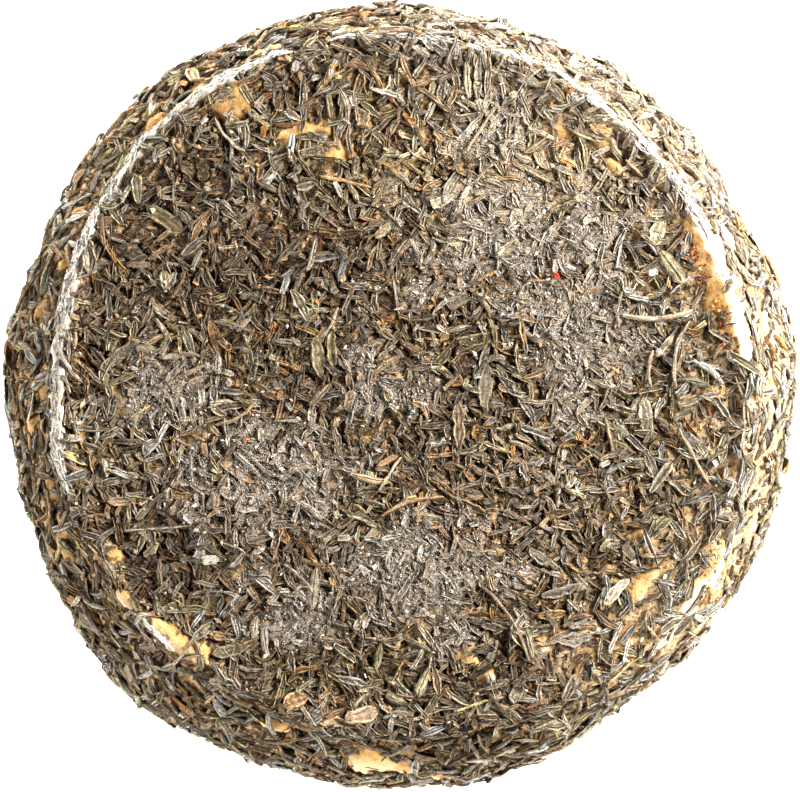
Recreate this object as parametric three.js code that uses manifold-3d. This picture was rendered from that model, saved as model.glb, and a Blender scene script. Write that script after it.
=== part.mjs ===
// A round of soft cheese coated all over in dried thyme leaves, lying on its flat base.
// Millimetres, +Z up, with the origin in the middle of the base. Seen from above with +Y up the
// picture, +X is the right-hand side.
import * as THREE from "three";
import { mergeVertices } from "three/addons/utils/BufferGeometryUtils.js";
import Module from "manifold-3d";

// Driving sizes of the round
const HEIGHT = 50;
const WAIST_RADIUS = 62.4;
const WAIST_Z = 25;
const LIP_RADIUS = 54.5;
const LIP_RISE = 1.3;
const LIP_WIDTH = 5.5;
const NECK_DROP = 4.6;
const FOOT_RADIUS = 54;

// How the round is divided into facets: steps in a turn, rings of the top as parts of its
// radius, closer at the lip, and steps down the side
const TURN_STEPS = 54;
const TOP_RINGS = [0.3, 0.62, 0.86, 0.94, 1];
const SIDE_STEPS = 12;

// Slow waves of the outline: waves in a turn, swing in mm, phase in degrees
const WAIST_WAVES = [
  [1, 0.75, 176],
  [2, 0.29, -64],
  [3, 0.61, -15],
  [5, 0.22, 15],
  [6, 0.37, 56],
  [7, 0.19, -163],
  [8, 0.33, -23],
];
const LIP_WAVES = [
  [1, 0.33, -23],
  [2, 0.38, 91],
  [3, 0.57, 81],
];

// Swells of the top: wavelength in mm, direction in degrees, phase in degrees, swing in mm
const TOP_SWELLS = [
  [61, 20, 40, 0.3],
  [43, 95, 210, 0.24],
  [29, 155, 120, 0.16],
];

// Dents and swells of the side: waves in a turn, mm of height in a wave, phase, swing in mm
const SIDE_SWELLS = [
  [9, 47, 30, 0.3],
  [13, -38, 160, 0.22],
  [21, 60, 75, 0.13],
];

// The largest leaves, which stand proud of the crust
const LEAF_COUNT = 390;
const LEAF_LENGTH = [5.2, 8.2];
const LEAF_WIDTH = [1.35, 2.1];
const LEAF_THICKNESS = [1.1, 1.5];
const LEAF_TILT = 7;
const SIDE_LEAF_SWING = 42;
const LEAF_FLOOR_GAP = 0.2;
const SEED = 20417;

// Patches where the cheese shows with few leaves on it: turn in degrees, distance from the
// middle of the top along the surface, half length round the turn, half length along the profile
const BARE_PATCHES = [
  [17, 51, 11, 4],
  [121, 51, 6, 3.5],
  [112, 42, 4.5, 2],
  [140, 55, 14, 2],
  [186, 54.5, 9, 2],
  [183, 66, 5, 2.5],
  [217, 55, 3, 2.5],
  [232, 51, 6, 3],
  [266, 70, 5, 3.5],
  [-42, 60, 8, 3.5],
  [-39, 47.5, 5, 3],
  [-13, 57, 6, 3.5],
  [30, 88, 7, 3.5],
  [75, 83, 6, 4],
  [155, 93, 6, 3],
  [318, 92, 6, 4],
];

const radians = THREE.MathUtils.degToRad;
const smooth = THREE.MathUtils.smoothstep;

// A repeatable stream of numbers from 0 to 1
function randomStream(seed) {
  let state = seed >>> 0;
  return () => {
    state = (state + 0x6d2b79f5) >>> 0;
    let mixed = Math.imul(state ^ (state >>> 15), state | 1);
    mixed ^= mixed + Math.imul(mixed ^ (mixed >>> 7), mixed | 61);
    return ((mixed ^ (mixed >>> 14)) >>> 0) / 4294967296;
  };
}

function waveSum(waves, turn) {
  let sum = 0;
  for (const [count, swing, phase] of waves) {
    sum += swing * Math.cos(count * turn + radians(phase));
  }
  return sum;
}

// Half of the cross-section, from the middle of the top over the lip and the waist to the foot
const topFlat = HEIGHT - LIP_RISE;
const topCurve = new THREE.SplineCurve([
  new THREE.Vector2(0, topFlat),
  new THREE.Vector2(LIP_RADIUS * 0.35, topFlat - 0.1),
  new THREE.Vector2(LIP_RADIUS * 0.7, topFlat + 0.1),
  new THREE.Vector2(LIP_RADIUS - LIP_WIDTH, topFlat + 0.3),
  new THREE.Vector2(LIP_RADIUS - LIP_WIDTH / 3, HEIGHT),
]);
const sideCurve = new THREE.SplineCurve([
  new THREE.Vector2(LIP_RADIUS - LIP_WIDTH / 3, HEIGHT),
  new THREE.Vector2(LIP_RADIUS + 0.6, HEIGHT - 1),
  new THREE.Vector2(LIP_RADIUS + 1.3, HEIGHT - NECK_DROP),
  new THREE.Vector2(LIP_RADIUS + 4.3, HEIGHT - NECK_DROP - 4.6),
  new THREE.Vector2(WAIST_RADIUS - 1.1, WAIST_Z + 9.5),
  new THREE.Vector2(WAIST_RADIUS, WAIST_Z),
  new THREE.Vector2(WAIST_RADIUS - 0.9, WAIST_Z * 0.55),
  new THREE.Vector2(FOOT_RADIUS + 4.7, WAIST_Z * 0.2),
  new THREE.Vector2(FOOT_RADIUS + 2, 1),
  new THREE.Vector2(FOOT_RADIUS, 0),
]);
const topLength = topCurve.getLength();
const profileLength = topLength + sideCurve.getLength();

function profilePoint(along) {
  return along <= topLength
    ? topCurve.getPointAt(along / topLength)
    : sideCurve.getPointAt(Math.min((along - topLength) / (profileLength - topLength), 1));
}

// The round is moved so that its outline is centred on the origin
function outlineCentre() {
  const box = new THREE.Box2();
  for (let degrees = 0; degrees < 360; degrees += 1) {
    const turn = radians(degrees);
    const radius = WAIST_RADIUS + waveSum(WAIST_WAVES, turn);
    box.expandByPoint(new THREE.Vector2(radius * Math.cos(turn), radius * Math.sin(turn)));
  }
  return box.getCenter(new THREE.Vector2());
}
const centre = outlineCentre();

// A point of the round's surface, by its turn and its distance along the profile
function surfacePoint(turn, along) {
  const profile = profilePoint(along);
  const inward = smooth(along, 0, topLength);
  const lowering = smooth(HEIGHT - profile.y, 1, HEIGHT - WAIST_Z);
  const onSide = along > topLength ? 1 : 0;
  const lipSwing = waveSum(LIP_WAVES, turn) * (1 - lowering * onSide) * inward;
  const waistSwing = waveSum(WAIST_WAVES, turn) * lowering * onSide;
  let radius = profile.x + lipSwing + waistSwing;
  const sideFade = onSide * smooth(HEIGHT - profile.y, 2, 9) * smooth(profile.y, 0, 7);
  for (const [count, rise, phase, swing] of SIDE_SWELLS) {
    const climb = (2 * Math.PI * profile.y) / rise;
    radius += sideFade * swing * Math.cos(count * turn + climb + radians(phase));
  }
  const x = radius * Math.cos(turn);
  const y = radius * Math.sin(turn);
  const topFade = smooth(profile.y, HEIGHT - NECK_DROP, topFlat);
  let z = profile.y;
  for (const [wavelength, heading, phase, swing] of TOP_SWELLS) {
    const distance = x * Math.cos(radians(heading)) + y * Math.sin(radians(heading));
    z += topFade * swing * Math.cos((2 * Math.PI * distance) / wavelength + radians(phase));
  }
  return new THREE.Vector3(x - centre.x, y - centre.y, z);
}

// Outward normal and the direction round the turn, from short steps on the surface
function surfaceFrame(turn, along) {
  const step = 0.4;
  const point = surfacePoint(turn, along);
  const round = surfacePoint(turn + step / WAIST_RADIUS, along).sub(point).normalize();
  const down = surfacePoint(turn, along + step).sub(surfacePoint(turn, along - step)).normalize();
  const normal = down.clone().cross(round).normalize();
  return { point, normal, round };
}

function bodyGeometry() {
  const rows = TOP_RINGS.map((part) => part * topLength);
  for (let step = 1; step <= SIDE_STEPS; step += 1) {
    rows.push(topLength + ((profileLength - topLength) * step) / SIDE_STEPS);
  }
  const positions = [];
  const faces = [];
  const middleTop = surfacePoint(0, 0);
  positions.push(middleTop.x, middleTop.y, middleTop.z);
  for (const along of rows) {
    for (let k = 0; k < TURN_STEPS; k += 1) {
      const point = surfacePoint((2 * Math.PI * k) / TURN_STEPS, along);
      positions.push(point.x, point.y, along === profileLength ? 0 : point.z);
    }
  }
  const middleBase = positions.length / 3;
  positions.push(0, 0, 0);
  const index = (row, k) => 1 + row * TURN_STEPS + (k % TURN_STEPS);
  const lastRow = rows.length - 1;
  for (let k = 0; k < TURN_STEPS; k += 1) {
    faces.push(0, index(0, k), index(0, k + 1));
    for (let row = 0; row < lastRow; row += 1) {
      faces.push(index(row, k), index(row + 1, k), index(row + 1, k + 1));
      faces.push(index(row, k), index(row + 1, k + 1), index(row, k + 1));
    }
    faces.push(middleBase, index(lastRow, k + 1), index(lastRow, k));
  }
  const geometry = new THREE.BufferGeometry();
  geometry.setAttribute("position", new THREE.Float32BufferAttribute(positions, 3));
  geometry.setIndex(faces);
  return geometry;
}

// A dried leaf: a spindle with four sides, widest a little before its middle, along its own Y
function leafGeometry(length, width, thickness) {
  const half = length / 2;
  const outline = [
    new THREE.Vector2(0, -half),
    new THREE.Vector2(0.5, -half * 0.15),
    new THREE.Vector2(0, half),
  ];
  const geometry = new THREE.LatheGeometry(outline, 4);
  geometry.scale(width, 1, thickness);
  return geometry;
}

function isBare(turn, along) {
  const radius = profilePoint(along).x;
  for (const [degrees, middle, halfRound, halfAlong] of BARE_PATCHES) {
    const past = THREE.MathUtils.euclideanModulo(turn - radians(degrees) + Math.PI, 2 * Math.PI);
    const acrossGap = (past - Math.PI) * radius;
    if (Math.hypot(acrossGap / halfRound, (along - middle) / halfAlong) < 1) {
      return true;
    }
  }
  return false;
}

// Distances along the profile that share the surface's area out evenly
function evenDistances(count) {
  const steps = 2000;
  const area = [0];
  for (let k = 0; k < steps; k += 1) {
    area.push(area[k] + profilePoint((profileLength * (k + 0.5)) / steps).x);
  }
  const distances = [];
  let k = 0;
  for (let n = 0; n < count; n += 1) {
    const wanted = (area[steps] * (n + 0.5)) / count;
    while (area[k + 1] < wanted) {
      k += 1;
    }
    distances.push((profileLength * (k + 0.5)) / steps);
  }
  return distances;
}

function placedLeaves() {
  const random = randomStream(SEED);
  const between = ([low, high]) => low + (high - low) * random();
  const goldenTurn = Math.PI * (3 - Math.sqrt(5));
  const leaves = [];
  evenDistances(LEAF_COUNT).forEach((along, n) => {
    const turn = n * goldenTurn + (random() - 0.5) * 0.04;
    const leaf = leafGeometry(between(LEAF_LENGTH), between(LEAF_WIDTH), between(LEAF_THICKNESS));
    const { point, normal, round } = surfaceFrame(turn, along);
    const swing = THREE.MathUtils.lerp(180, SIDE_LEAF_SWING, smooth(along, topLength - 8, topLength - 3));
    const heading = radians((random() * 2 - 1) * swing);
    const lengthways = round.clone().applyAxisAngle(normal, heading);
    const crossways = lengthways.clone().cross(normal);
    lengthways.applyAxisAngle(crossways, radians((random() * 2 - 1) * LEAF_TILT));
    const up = crossways.clone().cross(lengthways);
    leaf.applyMatrix4(new THREE.Matrix4().makeBasis(crossways, lengthways, up).setPosition(point));
    leaf.computeBoundingBox();
    if (!isBare(turn, along) && leaf.boundingBox.min.z > LEAF_FLOOR_GAP) {
      leaves.push(leaf);
    }
  });
  return leaves;
}

const wasm = await Module();
wasm.setup();

function toSolid(geometry) {
  const bare = geometry.clone();
  bare.deleteAttribute("normal");
  bare.deleteAttribute("uv");
  const merged = mergeVertices(bare, 1e-4);
  const corners = merged.index.array;
  const faces = [];
  for (let k = 0; k < corners.length; k += 3) {
    const [a, b, c] = [corners[k], corners[k + 1], corners[k + 2]];
    if (a !== b && b !== c && c !== a) {
      faces.push(a, b, c);
    }
  }
  const vertProperties = new Float32Array(merged.attributes.position.array);
  const triVerts = new Uint32Array(faces);
  return new wasm.Manifold(new wasm.Mesh({ numProp: 3, vertProperties, triVerts }));
}

// The largest closed piece of a solid, without sealed hollows or loose scraps
function mainPiece(solid) {
  return solid.decompose().reduce((best, piece) => (piece.volume() > best.volume() ? piece : best));
}

function toGeometry(solid) {
  const mesh = solid.getMesh();
  const geometry = new THREE.BufferGeometry();
  geometry.setAttribute("position", new THREE.Float32BufferAttribute(mesh.vertProperties, 3));
  geometry.setIndex(new THREE.Uint32BufferAttribute(mesh.triVerts, 1));
  geometry.computeVertexNormals();
  return geometry;
}

function coatedRound() {
  let solid = toSolid(bodyGeometry());
  for (const leaf of placedLeaves()) {
    solid = solid.add(toSolid(leaf));
  }
  return toGeometry(mainPiece(solid));
}

const crust = new THREE.MeshStandardMaterial({ color: 0x80705a, roughness: 0.9, metalness: 0 });
const cheese = new THREE.Mesh(coatedRound(), crust);
cheese.name = "cheese_round";

const model = new THREE.Group();
model.add(cheese);

export default model;
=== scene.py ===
import math

import bpy
import numpy as np
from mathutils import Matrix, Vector


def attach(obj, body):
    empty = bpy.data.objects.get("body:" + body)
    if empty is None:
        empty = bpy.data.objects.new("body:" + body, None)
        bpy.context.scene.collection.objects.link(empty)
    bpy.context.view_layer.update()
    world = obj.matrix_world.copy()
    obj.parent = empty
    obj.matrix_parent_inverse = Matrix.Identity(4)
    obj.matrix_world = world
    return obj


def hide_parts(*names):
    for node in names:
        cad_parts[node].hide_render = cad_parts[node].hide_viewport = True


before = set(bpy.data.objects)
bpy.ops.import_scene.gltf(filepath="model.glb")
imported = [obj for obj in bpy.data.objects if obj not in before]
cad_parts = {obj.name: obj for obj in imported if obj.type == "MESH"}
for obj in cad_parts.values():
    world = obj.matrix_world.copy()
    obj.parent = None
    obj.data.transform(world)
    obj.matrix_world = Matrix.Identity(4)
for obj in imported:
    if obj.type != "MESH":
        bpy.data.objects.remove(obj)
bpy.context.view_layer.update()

# A round of soft cheese coated in dried thyme leaves. Lengths here are in millimetres, and MM
# turns them into Blender's metres. Seen from above with +Y up the picture, +X is to the right.
# The crust is laid on an unrolled disc: a place on it has the turn of its point on the round,
# and its distance from the disc's middle is the distance along the round's profile.
MM = 0.001
NODE = "cheese_round"
SEED = 8150
GOLDEN_SHARE = 3 - math.sqrt(5)
SWELL_WAVES = 14
SPLINE_SAMPLES = 500

# Driving sizes of the round, as in its solid
HEIGHT = 50.0
WAIST_RADIUS = 62.4
WAIST_Z = 25.0
LIP_RADIUS = 54.5
LIP_RISE = 1.3
LIP_WIDTH = 5.5
NECK_DROP = 4.6
FOOT_RADIUS = 54.0

# Slow waves of the outline: waves in a turn, swing in mm, phase in degrees
WAIST_WAVES = [
    (1, 0.75, 176), (2, 0.29, -64), (3, 0.61, -15), (5, 0.22, 15), (6, 0.37, 56), (7, 0.19, -163),
    (8, 0.33, -23),
]
LIP_WAVES = [(1, 0.33, -23), (2, 0.38, 91), (3, 0.57, 81)]

# Swells of the top: wavelength in mm, direction in degrees, phase in degrees, swing in mm
TOP_SWELLS = [(61, 20, 40, 0.3), (43, 95, 210, 0.24), (29, 155, 120, 0.16)]

# Dents and swells of the side: waves in a turn, mm of height in a wave, phase, swing in mm
SIDE_SWELLS = [(9, 47, 30, 0.3), (13, -38, 160, 0.22), (21, 60, 75, 0.13)]

# How far the rind lies under the solid's surface where leaves cover it, where it is bare, and
# where crushed leaf fills the gaps. The rind of the base lies above the leaves under it.
COVERED_DEPTH = 0.85
BARE_DEPTH = 0.1
BARE_DIP = 0.35
CRUSHED_DEPTH = 0.45
BASE_GAP = 0.95

# Under the round: the height where its leaves lie, how far above that they start to pile, and
# the least gap between anything and the floor
BASE_LEAF_Z = 0.62
BASE_LEAF_DEPTH = 0.12
FLOOR_GAP = 0.03

# How leaves pile up: the most they lean, how high they may lie, and how much lower on the side
MOST_LEAN = 0.45
PILE_TOP = 0.75
SIDE_PILE_DROP = 0.3

# Patches where the rind shows with few leaves on it: turn in degrees, distance from the middle
# of the top along the surface, half length round the turn, half length along the profile, and
# how pale the rind is there, from amber to cream
BARE_PATCHES = [
    (19, 52.2, 8.5, 2.6, 0.5), (25, 52.6, 5, 2.2, 0.5), (10.5, 53.5, 5.5, 1.7, 0.5),
    (120.5, 51, 3.6, 1.9, -0.5), (112, 42, 3.4, 1.7, 0.1), (104, 37, 1.9, 1.3, 0.1),
    (182, 44.5, 2, 1.1, -0.1), (180, 61, 1.8, 1.1, -0.3), (186, 64, 1.8, 1.2, -0.1),
    (196, 62, 2, 1.1, -0.2), (205, 64, 2.2, 1.1, -0.2), (217.8, 54.5, 3, 1.1, 0.6),
    (210.8, 51.6, 1.3, 1.2, -0.2), (230, 52.6, 5.4, 1.9, 0.3), (258.2, 54.2, 2.4, 0.95, 0.7),
    (265.5, 66.5, 4, 3.6, 0.45), (270, 68, 2.2, 2.2, 0.2), (275, 73, 3, 1.5, 0.3),
    (250, 62, 2.2, 1.2, 0.4), (-42, 60, 4, 1.6, 0.6), (-38, 66, 3, 1.2, 0.5),
    (-39, 47.5, 2.6, 1.2, 0.3), (-50, 52, 2.4, 1, 0.2), (-28, 57, 3, 1.3, 0.7),
    (-13, 57, 2.4, 1.2, 0.7), (-20, 66, 3, 1.3, 0.6), (-3, 62, 2.6, 1.2, 0.6),
    (10, 64, 2.4, 1.2, 0.6), (24, 62, 2.2, 1.1, 0.6), (52.5, 51, 1.2, 0.8, 0.2),
    (49, 49.6, 1.2, 0.8, 0.1), (46.5, 48, 1.5, 0.8, 0), (58, 47, 1.1, 0.7, 0),
    (59.4, 53, 1, 0.7, 0), (95, 60, 3, 0.9, 0.3), (-76.5, 43.6, 1.5, 1.5, 0.3),
    (-74, 46.5, 2.2, 1, 0.1), (-62, 45, 2, 1.1, 0.4), (-33, 43, 1.8, 1.1, 0.3),
    (-52, 47, 2, 1, 0.5), (-37, 55.5, 4.5, 1.6, 0.7), (-31, 60, 3.2, 1.5, 0.7),
    (112, 61, 2.6, 1, 0), (124, 60, 2.4, 1, -0.2), (133, 62, 1.8, 1, -0.2),
    (144, 59.5, 2, 0.9, -0.2), (151, 64, 1.6, 0.9, -0.3), (160, 61, 1.6, 0.8, -0.3),
    (168, 65, 1.6, 0.9, -0.3), (30, 88, 7, 2.2, 0.5), (75, 83, 6, 2.4, 0.4),
    (155, 93, 6, 1.9, 0.3), (318, 92, 6, 2.4, 0.5), (240, 84, 5, 1.8, 0.3), (10, 98, 6, 1.6, 0.4),
    (110, 99, 5, 1.7, 0.4), (205, 90, 6, 1.8, 0.3), (280, 97, 7, 1.7, 0.4),
]

# The turn of the bare crescent of the lip
BARE_LIP_TURN = 18

# Where a fibrous ridge of pale mould has grown on the lip: turn in degrees, half length in
# degrees, and how little of it leaves cover
LIP_BLOOM = [
    (154, 45, 1), (225, 3, 0.6), (92, 8, 0.45), (60, 26, 0.8), (35, 8, 0.8),
]
BLOOM_OFFSET = 1.25
STRANDS_PER_DEGREE = 7
STRAND_COLOUR = np.array((0.70, 0.645, 0.565))
BLOOM_RISE = 0.4

# Zones of the top, each (x, y, half width, half height): crushed leaf under grey mould, and
# dense dark leaf
GREY_ZONES = [
    (18, 23.5, 14.5, 9), (29, 8, 8, 11), (-36, -1, 7, 6.5), (-21, -13.5, 13, 7), (4, -29, 12, 8),
    (-16, -34, 7, 5.5), (15, 40, 6, 6), (-2, 1, 6, 4),
]
KHAKI_ZONE = (22, 38, 26, 13)
DARK_ZONES = [(-16, 19, 13, 8), (-36, 26, 12, 11), (-37, -24, 8, 8), (8, 2, 5, 5)]


radians = np.radians


def smooth(value, low, high):
    part = np.clip((value - low) / (high - low), 0, 1)
    return part * part * (3 - 2 * part)


def unit(vectors):
    return vectors / np.maximum(np.linalg.norm(vectors, axis=-1, keepdims=True), 1e-9)


def on_disc(turn, reach):
    return np.stack([reach * np.cos(turn), reach * np.sin(turn)], axis=-1)


def facing_way(turn, degrees, low, high):
    """From 0 to 1, how near turns are to a direction, between two cosines of the gap."""
    return smooth(np.cos(turn - radians(degrees)), low, high)


def turn_past(turn, degrees):
    return (turn - radians(degrees) + np.pi) % (2 * np.pi) - np.pi


def seeded(number):
    return np.random.default_rng(SEED + number)


def any_heading(draw, count):
    return draw.uniform(0, 2 * np.pi, count)


def wave_sum(waves, turn):
    return sum(swing * np.cos(count * turn + radians(phase)) for count, swing, phase in waves)


def swells(points, wavelength, seed):
    """Smooth unevenness with a spread of 1 at points in mm, from seeded waves in all directions."""
    draw = np.random.default_rng(seed)
    headings = unit(draw.normal(size=(SWELL_WAVES, 3)))
    lengths = wavelength * draw.uniform(0.7, 1.4, SWELL_WAVES)
    phases = draw.uniform(0, 2 * np.pi, SWELL_WAVES)
    total = 0
    for heading, length, phase in zip(headings, lengths, phases):
        total = total + np.cos(points @ heading * (2 * np.pi / length) + phase)
    return total / math.sqrt(SWELL_WAVES / 2)


# The round's own surface


def spline(points):
    """Points of the smooth curve that runs through the named points."""
    points = np.array(points, float)
    last = len(points) - 1
    place = np.linspace(0, last, SPLINE_SAMPLES)
    start = np.minimum(place.astype(int), last - 1)
    part = (place - start)[:, None]
    here, after = points[start], points[start + 1]
    leave = (after - points[np.maximum(start - 1, 0)]) / 2
    arrive = (points[np.minimum(start + 2, last)] - here) / 2
    cubic = 2 * here - 2 * after + leave + arrive
    square = -3 * here + 3 * after - 2 * leave - arrive
    return cubic * part**3 + square * part**2 + leave * part + here


def run_lengths(line):
    return np.concatenate([[0], np.cumsum(np.linalg.norm(np.diff(line, axis=0), axis=1))])


TOP_FLAT = HEIGHT - LIP_RISE
CREST_RADIUS = LIP_RADIUS - LIP_WIDTH / 3
top_line = spline(
    [
        (0, TOP_FLAT),
        (LIP_RADIUS * 0.35, TOP_FLAT - 0.1),
        (LIP_RADIUS * 0.7, TOP_FLAT + 0.1),
        (LIP_RADIUS - LIP_WIDTH, TOP_FLAT + 0.3),
        (CREST_RADIUS, HEIGHT),
    ]
)
side_line = spline(
    [
        (CREST_RADIUS, HEIGHT),
        (LIP_RADIUS + 0.6, HEIGHT - 1),
        (LIP_RADIUS + 1.3, HEIGHT - NECK_DROP),
        (LIP_RADIUS + 4.3, HEIGHT - NECK_DROP - 4.6),
        (WAIST_RADIUS - 1.1, WAIST_Z + 9.5),
        (WAIST_RADIUS, WAIST_Z),
        (WAIST_RADIUS - 0.9, WAIST_Z * 0.55),
        (FOOT_RADIUS + 4.7, WAIST_Z * 0.2),
        (FOOT_RADIUS + 2, 1),
        (FOOT_RADIUS, 0),
    ]
)
top_length = run_lengths(top_line)[-1]
profile_line = np.vstack([top_line, side_line[1:]])
profile_run = run_lengths(profile_line)
profile_length = profile_run[-1]


def profile_radius(along):
    return np.interp(along, profile_run, profile_line[:, 0])


def profile_height(along):
    return np.interp(along, profile_run, profile_line[:, 1])


def outline_centre():
    turn = radians(np.arange(360))
    radius = WAIST_RADIUS + wave_sum(WAIST_WAVES, turn)
    x, y = radius * np.cos(turn), radius * np.sin(turn)
    return (x.min() + x.max()) / 2, (y.min() + y.max()) / 2


centre_x, centre_y = outline_centre()


def surface(turn, along):
    """Points of the solid's surface, by their turn and their distance along the profile."""
    height = profile_height(along)
    on_side = (along > top_length).astype(float)
    inward = smooth(along, 0, top_length)
    lowering = smooth(HEIGHT - height, 1, HEIGHT - WAIST_Z) * on_side
    radius = profile_radius(along) + wave_sum(LIP_WAVES, turn) * (1 - lowering) * inward
    radius = radius + wave_sum(WAIST_WAVES, turn) * lowering
    side_fade = on_side * smooth(HEIGHT - height, 2, 9) * smooth(height, 0, 7)
    for count, rise, phase, swing in SIDE_SWELLS:
        climb = 2 * np.pi * height / rise
        radius = radius + side_fade * swing * np.cos(count * turn + climb + radians(phase))
    x, y = radius * np.cos(turn), radius * np.sin(turn)
    top_fade = smooth(height, HEIGHT - NECK_DROP, TOP_FLAT)
    z = height
    for wavelength, heading, phase, swing in TOP_SWELLS:
        distance = x * np.cos(radians(heading)) + y * np.sin(radians(heading))
        z = z + top_fade * swing * np.cos(2 * np.pi * distance / wavelength + radians(phase))
    return np.stack([x - centre_x, y - centre_y, z], axis=-1)


# The two sheets that leaves are laid on: the crown, which is the top and the side unrolled
# into a disc, and the base


def turn_and_along(places):
    turn = np.arctan2(places[..., 1], places[..., 0])
    return turn, np.minimum(np.hypot(places[..., 0], places[..., 1]), profile_length)


def crown_frames(places):
    """Points with their outward normals and the directions round the turn and down the side."""
    turn, along = turn_and_along(places)
    step = 0.3
    angle = step / np.maximum(profile_radius(along), 3)
    around = unit(surface(turn + angle, along) - surface(turn - angle, along))
    down = unit(surface(turn, along + step) - surface(turn, np.maximum(along - step, 0)))
    return surface(turn, along), unit(np.cross(down, around)), around, down


def crown_walk(places, across, onward):
    """Places reached from starts by a short way round and a short way down, in mm."""
    turn, along = turn_and_along(places)
    stretch = np.where(along > 8, along / np.maximum(profile_radius(along), 1), 1)
    x = places[..., 0] + onward * np.cos(turn) - across * stretch * np.sin(turn)
    y = places[..., 1] + onward * np.sin(turn) + across * stretch * np.cos(turn)
    return np.stack([x, y], axis=-1)


def base_frames(places):
    ones = np.ones(places.shape[:-1] + (1,))
    points = np.concatenate([places, ones * BASE_LEAF_Z], axis=-1)
    return points, ones * (0, 0, -1), ones * (1, 0, 0), ones * (0, 1, 0)


def base_walk(places, across, onward):
    return places + np.stack([across, onward], axis=-1)


class Sheet:
    """A sheet to lay things on, with a map of how high the crust has grown on it."""

    CELL = 0.22
    COARSE = 4
    MARGIN = 6

    def __init__(self, frames, walk, reach, ground):
        self.frames = frames
        self.walk = walk
        self.reach = reach
        coarse_size = int(2 * (reach + self.MARGIN) / (self.CELL * self.COARSE))
        self.size = coarse_size * self.COARSE
        middles = (np.arange(coarse_size) + 0.5) * self.CELL * self.COARSE - reach - self.MARGIN
        x, y = np.meshgrid(middles, middles)
        coarse = ground(np.stack([x, y], axis=-1))
        self.heights = coarse.repeat(self.COARSE, axis=0).repeat(self.COARSE, axis=1).ravel()

    def cells(self, places):
        steps = np.floor((places + self.reach + self.MARGIN) / self.CELL).astype(int)
        steps = np.clip(steps, 0, self.size - 1)
        return steps[..., 1] * self.size + steps[..., 0]


# Where the rind shows, where mould has grown and where the leaf is crushed or dense


def bare_and_pale(turn, along, points):
    """How bare the rind is, from 0 under dense leaves to 1, and how pale it is there."""
    ragged = 0.22 * swells(points, 3.2, 11) + 0.12 * swells(points, 1.3, 12)
    strength, paleness = np.zeros(np.shape(turn)), np.zeros(np.shape(turn))
    radius = profile_radius(along)
    for degrees, middle, half_round, half_along, pale in BARE_PATCHES:
        past = turn_past(turn, degrees)
        gap = np.hypot(past * radius / half_round, (along - middle) / half_along)
        own = smooth(1.35 - gap + ragged, 0, 0.6)
        outward = np.clip((along - middle) / half_along, -1, 1)
        paleness = np.where(own > strength, pale + 0.35 * outward, paleness)
        strength = np.maximum(strength, own)
    lip = (np.cos(turn - radians(BARE_LIP_TURN)) > 0.93) & (np.abs(along - 53) < 4)
    paleness = np.where(lip, 1.2 * smooth(along + 1.4 * ragged, 51.9, 53.1), paleness)
    return strength, paleness


def bareness(*spot):
    return bare_and_pale(*spot)[0]


def ridge_line(turn):
    """How far along the profile the ridge of mould runs."""
    wander = 0.25 * np.cos(5 * turn + 1) + 0.2 * np.cos(11 * turn)
    wander = wander + 0.85 * facing_way(turn, 128, 0.72, 0.95)
    return top_length + BLOOM_OFFSET + wander


def lip_bloom(turn, along, points):
    """Pale dry mould along the lip's crest."""
    strength = np.zeros(np.shape(turn))
    for degrees, half, share in LIP_BLOOM:
        past = np.abs(turn_past(turn, degrees))
        own = 1 - smooth(past, radians(half) * 0.75, radians(half) * 1.1)
        strength = np.maximum(strength, share * own)
    from_middle = np.abs(along - ridge_line(turn))
    from_middle = from_middle + 0.2 * swells(points, 2.2, 13) + 0.1 * swells(points, 0.9, 17)
    broad = 0.4 * facing_way(turn, 182, 0.85, 0.97)
    return strength * (1 - smooth(from_middle - broad, 0.35, 1.0))


def honey(turn, along, points):
    """Where the ground between the leaves is pale paste, with no stain and no painted shade: mostly
    at the right.
    """
    facing = facing_way(turn, -15, 0.5, 0.93) * smooth(along, 38, 52)
    floury = 0.45 * khaki_strength(points)
    return np.clip(0.08 + np.maximum(0.85 * facing, floury) + 0.14 * swells(points, 8, 16), 0, 1)


def zone_strength(zones, points):
    strength = np.zeros(points.shape[:-1])
    ragged = 0.25 * swells(points, 7, 14) + 0.15 * swells(points, 2.6, 15)
    for x, y, half_width, half_height in zones:
        gap = np.hypot((points[..., 0] - x) / half_width, (points[..., 1] - y) / half_height)
        strength = np.maximum(strength, smooth(1.5 - gap + ragged, 0, 1))
    return strength * smooth(points[..., 2], HEIGHT - 4, HEIGHT - 2.5)


def khaki_strength(points):
    """Where the leaves are lighter and more tan, at the upper right."""
    return zone_strength([KHAKI_ZONE], points)


def grey_at(points):
    """Where crushed leaf lies under grey mould."""
    return zone_strength(GREY_ZONES, points)


def uncovered(*spot):
    """Where few leaves lie: on bare rind and on the lip's ridge of mould."""
    return np.maximum(bareness(*spot), lip_bloom(*spot))


def rind_level(turn, along, points):
    """How far the rind lies from the solid's surface, negative inwards."""
    bloom = lip_bloom(turn, along, points)
    shown = uncovered(turn, along, points)
    open_depth = BARE_DEPTH + BARE_DIP * (1 - smooth(along, 46, 51))
    depth = COVERED_DEPTH + (open_depth - COVERED_DEPTH) * shown - BLOOM_RISE * bloom
    crushed = np.maximum(grey_at(points), honey(turn, along, points))
    depth = depth + np.minimum(CRUSHED_DEPTH - depth, 0) * crushed
    return 0.12 * swells(points, 4.5, 41) + 0.06 * swells(points, 1.9, 42) - depth


def spots(places):
    """Turns, distances along the profile and points of places on the crown."""
    turn, along = turn_and_along(places)
    return turn, along, surface(turn, along)


def crown_ground(places):
    return rind_level(*spots(places))


def base_ground(places):
    return 0 * places[..., 0] - BASE_LEAF_DEPTH


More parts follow.
